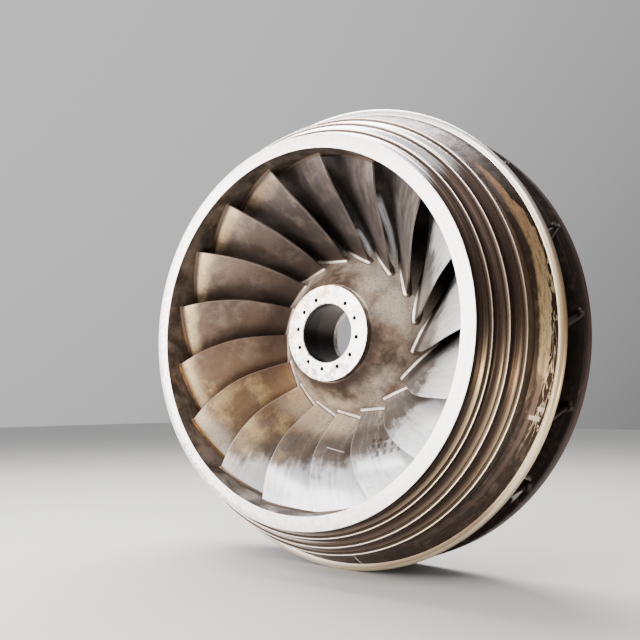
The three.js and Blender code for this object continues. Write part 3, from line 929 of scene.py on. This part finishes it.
# %% [markdown]
# ## The blades
# A runner blade is a plate pressed to a double curve. Its trailing edge faces us and runs from
# the crown's cone out to the throat of the band, and the plate sweeps back round the hub to its
# leading edge at the inlet. We describe the middle of the plate with two shares: `t` from the
# trailing to the leading edge, and `s` from the crown to the band.

# %% The middle surface of a blade
TRAILING_EDGE = [
    (*CROWN_FOOT, -13.2), (285, 206, -11.4), (339, 141, -9.1), (420, 76, -4.2),
    (THROAT_RADIUS, THROAT_DEPTH, 0),
]
FIRST_BLADE = 83.7
CROWN_WRAP, BAND_WRAP = 46.2, 42
CROWN_PACE, BAND_PACE = 0.21, 0.51
WIDE_STEP, FINE_STEP = 0.05, 0.01


def smooth_through(points, share):
    """A smooth curve through points, with steps weighted by how far apart they are."""
    spans = len(points) - 1
    index = min(int(share * spans), spans - 1)
    weight = share * spans - index
    p1, p2 = Vector(points[index]), Vector(points[index + 1])
    p0 = Vector(points[index - 1]) if index > 0 else 2 * p1 - p2
    p3 = Vector(points[index + 2]) if index + 2 <= spans else 2 * p2 - p1
    d0, d1, d2 = (math.sqrt((b - a).length) for a, b in ((p0, p1), (p1, p2), (p2, p3)))
    tangent_1 = ((p1 - p0) / d0 - (p2 - p0) / (d0 + d1) + (p2 - p1) / d1) * d1
    tangent_2 = ((p2 - p1) / d1 - (p3 - p1) / (d1 + d2) + (p3 - p2) / d2) * d1
    w2, w3 = weight ** 2, weight ** 3
    return (
        p1 * (2 * w3 - 3 * w2 + 1) + p2 * (3 * w2 - 2 * w3)
        + tangent_1 * (w3 - 2 * w2 + weight) + tangent_2 * (w3 - w2)
    )


def blade_middle(t, s):
    """Radius, depth and angle of the blade's middle surface."""
    pace = mix(CROWN_PACE, BAND_PACE, s)
    m = pace * t + (1 - pace) * t ** 3
    on_crown = crown_at(m)
    on_band = band_round(m * band_turn_at(LEADING_RADIUS))
    edge = smooth_through(TRAILING_EDGE, s)
    chord = (mix(CROWN_FOOT[0], THROAT_RADIUS, s), mix(CROWN_FOOT[1], THROAT_DEPTH, s))
    radius, depth = (
        mix(on_crown[k], on_band[k], s) + (1 - m) * (edge[k] - chord[k]) for k in range(2)
    )
    angle = FIRST_BLADE + mix(edge.z, mix(CROWN_WRAP, BAND_WRAP, s), t)
    return radius, depth, math.radians(angle)


def blade_point(t, s):
    """The same in space, carried straight on where s runs past the crown or the band."""
    inside = min(max(s, 0), 1)
    point = place(*blade_middle(t, inside))
    if s == inside:
        return point
    step = WIDE_STEP if s < 0 else -WIDE_STEP
    inner = place(*blade_middle(t, inside + step))
    return point + (point - inner) * (abs(s - inside) / WIDE_STEP)


def blade_directions(t, s):
    """Unit vectors along the flow, across the span and out of the plate."""
    low_t, high_t = max(t - FINE_STEP, 0), min(t + FINE_STEP, 1)
    low_s, high_s = max(s - FINE_STEP, 0), min(s + FINE_STEP, 1)
    along = (blade_point(high_t, s) - blade_point(low_t, s)).normalized()
    across = (blade_point(t, high_s) - blade_point(t, low_s)).normalized()
    return along, across, along.cross(across).normalized()


TRAILING_THICKNESS, BODY_THICKNESS, LEADING_THICKNESS = 6, 20, 14
NOSE = 0.99


def blade_thickness(t):
    ends = mix(TRAILING_THICKNESS, LEADING_THICKNESS, t)
    full = ends + (BODY_THICKNESS - ends) * max(math.sin(math.pi * t), 0) ** 0.7
    if t <= NOSE:
        return full
    past = (t - NOSE) / (1 - NOSE)
    return max(full * math.sqrt(max(1 - past * past, 0)), 0.8)


print("trailing edge at the band:", tuple(round(v, 3) for v in blade_point(0, 1)))

# %% [markdown]
# The blades were ground by hand and then tarnished: dark brown at the top, bronze brown on the
# left, gold with ragged borders lower left, and silver where the grinder went last, from the
# bottom round to the right; the silver is partly a painted reflection. The finish reads the turn
# round the wheel for that, and the blade's own UV map for what belongs to one blade: the
# grinder's streaks, a painted reflection strip and a rusty line near the band with painted shade
# in the corner beside them, a scraped trailing edge, one scratch, and the dashes that a cutter
# left. Painted shade darkens the blades deep in the passages, and a painted lighter tan lies
# near the hub on the lower blades.

# %% Finish of the blades
def blade_finish():
    steel = Finish("ground blade steel with painted light", 0.82)
    radius, depth = steel.radius, steel.depth
    flat, along, outwards = steel.unrolled()
    stretched = add_node("ShaderNodeMapping", {0: flat, "Scale": (30, 3.2, 1)})[0]
    streaks = noise(stretched, 1.0, 5.0, 0.62, 0.7)
    fine = noise(steel.point, 150, 5.0, 0.7)
    steel.color = steel.around({
        0: (0.44, 0.41, 0.39), 40: (0.2, 0.17, 0.162), 70: (0.118, 0.093, 0.091),
        100: (0.092, 0.072, 0.068), 145: (0.19, 0.135, 0.105), 185: (0.178, 0.11, 0.074),
        205: (0.33, 0.198, 0.108), 225: (0.4, 0.245, 0.135), 245: (0.36, 0.25, 0.165),
        262: (0.3, 0.235, 0.185), 290: (0.28, 0.25, 0.225),
    })
    dark_share = steel.around({
        0: 0.4, 60: 0.8, 120: 0.75, 190: 0.75, 205: 0.45, 235: 0.38, 270: 0.45, 300: 0.7,
    })
    steel.paint(steel.cloud(8, 0.4, 0.66) * dark_share, (0.095, 0.07, 0.056))
    steel.paint(steel.cloud(19, 0.48, 0.68) * 0.45, (0.34, 0.255, 0.205))
    # Painted light: a lighter, matt tan near the hub on the lower blades.
    by_the_hub = steel.around({0: 0, 205: 0, 236: 1, 264: 1, 282: 0.4, 298: 0})
    by_the_hub *= radius.step(335, 265)
    tan = steel.ragged(by_the_hub * 0.7, 0.15, 0.5, 11, 0.6)
    steel.paint(tan * 0.85, (0.5, 0.385, 0.265))
    gold_share = steel.around({0: 0, 190: 0, 204: 0.46, 222: 0.56, 240: 0.5, 256: 0.2, 275: 0})
    gold = steel.ragged(gold_share, 0.42, 0.72, 12, 1.6)
    steel.paint(gold * 0.75, (0.82, 0.58, 0.28))
    pink_share = steel.around({0: 0, 200: 0, 208: 0.8, 222: 1, 232: 0.6, 245: 0})
    pink = steel.ragged(radius.step(400, 492) * pink_share, 0.15, 0.8, 22, 0.6)
    steel.paint(pink * 0.7, (0.66, 0.55, 0.49))
    streaky = steel.around({0: 0.5, 30: 0.15, 50: 0.06, 100: 0.02, 236: 0.02, 262: 0.35, 300: 0.5})
    steel.paint(streaks.step(0.48, 0.66) * streaky, (0.86, 0.85, 0.83))
    steel.paint(streaks.step(0.44, 0.3) * streaky * 0.8, (0.13, 0.11, 0.1))

    # Fresh silver starts at a radius that changes round the wheel, with a dark border before it. The
    # silver is partly a painted reflection.
    fresh_from = steel.around({
        0: 0.54, 36: 0.62, 46: 1.0, 212: 1.0, 217: 0.72, 228: 0.655, 246: 0.578, 266: 0.532,
        292: 0.535, 325: 0.48,
    })
    past_fresh = (streaks - 0.5) * 0.1 + (radius / MAP_RADIUS - fresh_from)
    fresh_and_reflection = steel.ragged(past_fresh, -0.034, 0.046, 19, 0.2) * depth.step(200, 165)
    chalky = fresh_and_reflection * steel.around({0: 0, 210: 1, 235: 0.8, 255: 0})
    matt = larger(larger(by_the_hub * 0.55, chalky * 0.4), fresh_and_reflection * 0.32)
    connect(0.82 - matt, steel.shader["Metallic"])
    silver_and_highlight = steel.around({
        0: (0.88, 0.87, 0.86), 216: (0.6, 0.5, 0.43), 228: (0.9, 0.8, 0.75),
        240: (0.99, 0.93, 0.9), 262: (0.98, 0.99, 1.0), 325: (1.0, 1.0, 1.0),
    })
    silver_and_highlight = blend(streaks.step(0.52, 0.34, 0, 0.32), silver_and_highlight, (0.46, 0.46, 0.49))
    bluish = steel.around({0: 0.3, 215: 0, 236: 0.2, 252: 0.55, 300: 0.35})
    silver_and_highlight = blend(past_fresh.step(0.15, 0.0) * bluish, silver_and_highlight, (0.3, 0.31, 0.34))
    steel.paint(fresh_and_reflection, silver_and_highlight)
    border = steel.ragged(past_fresh, -0.15, -0.04, 15, 0.24) * (1 - fresh_and_reflection)
    border *= steel.around({0: 0.35, 40: 0, 215: 0.2, 232: 0.65, 262: 0.75, 300: 0.6})
    steel.paint(border, (0.125, 0.1, 0.086))

    # A painted reflection strip near the band, painted shade in the corner beside it and the rusty
    # line between.
    to_band = noise(steel.point, 26, 4.0) * 0.11 + (outwards - 0.055)
    strip_reflection = to_band.step(0.78, 0.915) * outwards.step(0.948, 0.916) * along.step(0.75, 0.35)
    strip_reflection *= steel.around({0: 0, 100: 0, 118: 0.6, 140: 0.95, 185: 1, 208: 0.7, 225: 0})
    strip_reflection *= noise(steel.point, 30, 4.0).step(0.3, 0.56, 0.55, 1)
    steel.paint(strip_reflection, (1.0, 0.73, 0.42))
    # Painted shade in the corner where the blade meets the band.
    corner = steel.around({0: 0.3, 60: 0.8, 200: 0.85, 228: 0.3, 245: 0, 330: 0})
    steel.paint(outwards.step(0.945, 0.965) * corner, (0.085, 0.062, 0.05))
    rusty = steel.around({0: 0, 175: 0, 192: 0.45, 205: 0.6, 226: 1, 238: 0})
    steel.paint(outwards.near(0.958, 0.012, 0.01) * rusty, (0.56, 0.29, 0.09))
    steel.paint(fine.step(0.44, 0.72) * (fresh_and_reflection * -0.35 + 0.45), (0.1, 0.075, 0.06))
    steel.paint(steel.specks(62, 0.015) * 0.7, (0.06, 0.04, 0.03))
    scraped = steel.around({
        0: 0.1, 60: 0.15, 110: 0.28, 150: 0.2, 182: 0.06, 200: 0.35, 212: 0.65, 290: 0.55, 330: 0.2,
    })
    steel.paint(along.step(0.004, 0.001) * scraped, (0.98, 0.88, 0.8))

    # One scratch, the rows of cutter dashes on the blade to its right, and a red chalk mark.
    turn_degrees = steel.turn * 360
    scratch = turn_degrees.near(276.5, 7, 2) * along.near(0.148, 0.06, 0.015)
    scratch *= outwards.near(along * 0.1 + 0.44, 0.003, 0.004)
    steel.paint(scratch, (1, 1, 1))
    rows = calc("PINGPONG", outwards * 0.25 + along, 0.045).near(0.0225, 0.007, 0.006)
    dashes = calc("SINE", outwards * 84).step(-0.7, -0.2) * along.near(0.25, 0.085, 0.01)
    cutter = turn_degrees.near(302, 7, 2) * outwards.near(0.56, 0.1, 0.015)
    steel.paint(cutter * rows * dashes * 0.7, (0.04, 0.034, 0.032))
    chalk = turn_degrees.near(298, 4, 1) * along.near(0.045, 0.02, 0.008)
    steel.paint(chalk * outwards.near(0.874, 0.004, 0.005) * 0.6, (0.75, 0.22, 0.12))

    # Painted shade deep in the passages: all round, apart from the lower blades, where it lies only
    # far out.
    shaded_turns = steel.around({0: 1, 180: 0.7, 204: 0, 310: 0, 332: 1})
    deep = depth.step(185, 245) * larger(shaded_turns, radius.step(300, 400))
    steel.paint(deep, (0.042, 0.03, 0.026))
    shine = blend(fresh_and_reflection, streaks.step(0.2, 0.8, 0.34, 0.5), (0.3, 0.3, 0.3))
    shine = blend(deep, shine, (0.6, 0.6, 0.6))
    return steel.done(shine, streaks * (streaky * 0.8 + 0.2) + fine)


blade_steel = blade_finish()
print("blade finish has", len(blade_steel.node_tree.nodes), "nodes")

# %% [markdown]
# We start from a flat grid, move its points onto that surface, and let a Solidify modifier give
# the plate its thickness. A vertex group holds the thickness as a share of the thickest place, so
# the plate is thin at the trailing edge and rounds off at the leading edge. The grid runs a
# little into the crown and the band, where the real blade is welded in.

# %% Press one blade and copy it round
def start_grid(name, columns, rows):
    """A flat grid, and a list of its points with the column and the row of each."""
    bpy.ops.object.select_all(action="DESELECT")
    bpy.ops.mesh.primitive_grid_add(
        x_subdivisions=columns, y_subdivisions=rows, size=1, location=(0, 0, 0),
    )
    grid = bpy.context.object
    grid.name = name
    return grid, [
        (point, round((point.co.x + 0.5) * columns), round((point.co.y + 0.5) * rows))
        for point in grid.data.vertices
    ]


BLADE_ROWS = 22
PLAIN_COLUMNS = 34
NOSE_COLUMNS = [0.993, 0.996, 0.9985, 1.0]
ROOT_DEPTH = 0.035
columns = [NOSE * i / PLAIN_COLUMNS for i in range(PLAIN_COLUMNS + 1)] + NOSE_COLUMNS
master_blade, points = start_grid("pressed_blade", len(columns) - 1, BLADE_ROWS)
thickness_group = master_blade.vertex_groups.new(name="thickness")
for point, column, row in points:
    t = columns[column]
    point.co = blade_point(t, mix(-ROOT_DEPTH, 1 + ROOT_DEPTH, row / BLADE_ROWS))
    thickness_group.add([point.index], blade_thickness(t) / BODY_THICKNESS, "REPLACE")
plate = master_blade.modifiers.new("plate", "SOLIDIFY")
plate.thickness = BODY_THICKNESS * MM
plate.offset = 0
plate.vertex_group = thickness_group.name
bpy.ops.object.modifier_apply(modifier=plate.name)
print("one blade has", len(master_blade.data.polygons), "faces")


def copy_round(master, name, index):
    """A copy with its own mesh, turned about the runner's axis to place number index."""
    piece = master.copy()
    piece.data = master.data.copy()
    piece.name = name
    bpy.context.scene.collection.objects.link(piece)
    to_axis = mathutils.Matrix.Translation((0, 0, AXIS_HEIGHT))
    turn = mathutils.Matrix.Rotation(-index * PITCH, 4, "Y")
    piece.data.transform(to_axis @ turn @ to_axis.inverted())
    bpy.ops.object.select_all(action="DESELECT")
    piece.select_set(True)
    bpy.context.view_layer.objects.active = piece
    return piece


for i in range(BLADE_COUNT):
    blade = copy_round(master_blade, f"blade_{i + 1:02d}_pressed", i)
    finish_piece(blade, blade_steel, [f"blade_{i + 1:02d}"], smooth=40)
bpy.data.objects.remove(master_blade)
print("blades:", BLADE_COUNT)

# %% [markdown]
# ## Weld seams at the blade feet
# Each blade is welded in all round, and the seam is ground to a hollow corner. On the crown the
# grinding is fresh and shows as a bright strip between two dark lines, tanned on the left. On the
# band the seam is brown, with rust lower left. Beyond a radius, where the seams run deep between
# the blades, both get painted shade, sooner near the top. The seam is a strip of grid whose one
# side lies on the plate and the other on the crown or the band, with a hollow between.

# %% Finishes of the seams
def seam_finish(name, color, tan, dark, rust_zone, shade_from):
    steel = Finish(name, 0.5, color)
    steel.paint(steel.around({0: 0, 95: 0, 130: 0.8, 215: 0.7, 250: 0.2}), tan)
    _, round_foot, across = steel.unrolled()
    mottle = steel.cloud(40, 0.35, 0.65)
    steel.paint(mottle * 0.45, dark)
    steel.paint(steel.around(rust_zone) * mottle, (0.46, 0.21, 0.06))
    steel.paint(larger(across.step(0.34, 0.24), across.step(0.74, 0.84)), dark)
    steel.paint(round_foot.step(0.475, 0.455), (0.15, 0.1, 0.075))
    # Painted shade where the seam runs deep between the blades, sooner near the top.
    shade_sooner = steel.around({0: 0.6, 30: 1, 100: 1, 130: 0, 330: 0})
    reach = shade_sooner * 38 + steel.radius
    steel.paint(reach.step(shade_from, shade_from + 25), (0.03, 0.02, 0.016))
    return steel.done(mottle.step(0, 1, 0.3, 0.48), noise(steel.point, 420))


crown_seam_finish = seam_finish(
    "ground seam on the crown", (0.97, 0.9, 0.8), (0.58, 0.44, 0.34), (0.1, 0.06, 0.04),
    {0: 0}, 285,
)
band_seam_finish = seam_finish(
    "brown seam on the band", (0.14, 0.1, 0.075), (0.14, 0.1, 0.075), (0.035, 0.025, 0.02),
    {0: 0.1, 170: 0.2, 190: 0.9, 232: 0.9, 245: 0.1}, 560,
)
print("seam finishes:", crown_seam_finish.name, "and", band_seam_finish.name)

# %% Lay the seams
SEAM_SIDE_STEPS, SEAM_TURN_STEPS, SEAM_WIDTH_STEPS = 40, 8, 6


def seam_stations():
    """Places round the foot of a blade: t, and the turn from one face round to the other."""
    side = [(i / SEAM_SIDE_STEPS) ** 1.2 for i in range(SEAM_SIDE_STEPS + 1)]
    turns = [math.pi * i / SEAM_TURN_STEPS for i in range(1, SEAM_TURN_STEPS)]
    stations = [(t, 0.0) for t in reversed(side)]
    stations += [(0.0, turn) for turn in turns]
    stations += [(t, math.pi) for t in side]
    stations += [(1.0, math.pi + turn) for turn in turns]
    return stations + stations[:1]


def onto_wall(point, s):
    """Move a point onto the water side of the crown (s = 0) or of the band (s = 1)."""
    radius = math.hypot(point.x, point.z - AXIS_HEIGHT) / MM
    angle = math.atan2(point.z - AXIS_HEIGHT, point.x)
    if s == 0:
        return place(radius, crown_depth(radius) + 0.4, angle)
    depth = (point.y - FRONT) / MM
    if depth < THROAT_DEPTH:
        return place(THROAT_RADIUS + 0.4, depth, angle)
    width, height = ROUND_RADIUS - radius, depth - THROAT_DEPTH
    scale = 0.998 / math.hypot(width / ROUND_WIDTH, height / ROUND_DEPTH)
    return place(ROUND_RADIUS - width * scale, THROAT_DEPTH + height * scale, angle)


def seam_strip(t, turn, s, width):
    """The points across the seam at one station, from the plate down to the wall."""
    along, across, normal = blade_directions(t, s)
    up = across if s == 0 else -across
    away = normal * math.cos(turn) - along * math.sin(turn)
    half = blade_thickness(min(t, NOSE)) / 2 * MM
    reach = half * abs(math.cos(turn)) if t in (0, 1) else half
    foot = blade_point(t, s) + away * reach * 0.96
    top = foot + up * width * MM
    low = onto_wall(foot + away * width * MM, s)
    corner = mix(top, low, 0.5) * 0.25 + onto_wall(foot, s) * 0.75
    shares = [i / SEAM_WIDTH_STEPS for i in range(SEAM_WIDTH_STEPS + 1)]
    return [top * (1 - u) ** 2 + corner * 2 * u * (1 - u) + low * u * u for u in shares]


def lay_seam(name, s, width):
    """One seam, round the foot of the first blade."""
    strips = [seam_strip(t, turn, s, width) for t, turn in seam_stations()]
    seam, points = start_grid(name, len(strips) - 1, SEAM_WIDTH_STEPS)
    for point, column, row in points:
        point.co = strips[column][row]
    return seam


SEAMS = (("crown", 0, 11, crown_seam_finish), ("band", 1, 8, band_seam_finish))
for wall, s, width, finish in SEAMS:
    master_seam = lay_seam(f"{wall}_seam", s, width)
    for i in range(BLADE_COUNT):
        seam = copy_round(master_seam, f"{wall}_seam_{i + 1:02d}", i)
        finish_piece(seam, finish, smooth=60)
    bpy.data.objects.remove(master_seam)
print("seams:", len(SEAMS) * BLADE_COUNT)

# %% [markdown]
# ## The studio
# Bright steel shows what stands around it, so the studio is part of the finish. A large soft
# light stands at the front left, where the flat outlet face looks. Another hangs above and gives
# the white tops of the ridges. A third, high in front, makes the lower blades silver. A small
# warm one lies low on the right and draws golden lines on the turned rings. The air around is
# pale on the upper left and darker on the right, so that the right side of the rings stays brown.
# The floor is pale and matt.

# %% Floor and lights
MIDDLE = (0, 0, AXIS_HEIGHT)
FLOOR_SIZE = 24
PALE_SIDE = (-0.75, -0.1, 0.65)


def floor_finish():
    pale = Finish("pale floor", 0.0, (0.6, 0.59, 0.57))
    pale.paint(noise(pale.point, 3.0), (0.66, 0.65, 0.63))
    connect(pale.color, pale.shader["Base Color"])
    connect(0.7, pale.shader["Roughness"])
    return pale.material


def area_light(name, location, size, energy, tint):
    data = bpy.data.lights.new(name, "AREA")
    data.shape = "RECTANGLE"
    data.size, data.size_y = size
    data.energy = energy
    data.color = tint
    light = bpy.data.objects.new(name, data)
    bpy.context.scene.collection.objects.link(light)
    light.location = location
    towards_middle = Vector(MIDDLE) - Vector(location)
    light.rotation_euler = towards_middle.to_track_quat("-Z", "Y").to_euler()


bpy.ops.object.select_all(action="DESELECT")
bpy.ops.mesh.primitive_plane_add(size=FLOOR_SIZE, location=(0, 0, 0))
floor = bpy.context.object
floor.name = "floor"
floor.data.materials.append(floor_finish())
area_light("front left", (-2.1, -3.1, 1.25), (3.2, 2.4), 330, (1, 0.985, 0.96))
area_light("overhead", (-1.1, 0.8, 3.9), (4.0, 2.4), 420, (1, 0.99, 0.98))
area_light("front high", (0.5, -2.9, 2.75), (2.2, 1.3), 95, (1, 0.99, 0.98))
area_light("low right", (1.75, -0.45, 0.16), (0.42, 0.16), 4.0, (1, 0.8, 0.52))

world = bpy.data.worlds.new("studio")
world.use_nodes = True
direction = add_node("ShaderNodeTexCoord", {}, world.node_tree)[0]
facing_pale_side = add_node(
    "ShaderNodeVectorMath", {0: direction, 1: PALE_SIDE}, operation="DOT_PRODUCT",
)[1]
air = world.node_tree.nodes["Background"].inputs
connect((0.96, 0.96, 0.98), air["Color"])
connect(facing_pale_side.step(-0.4, 0.9, 0.07, 0.75), air["Strength"])
bpy.context.scene.world = world

# %% Update the scene and finish
bpy.context.view_layer.update()
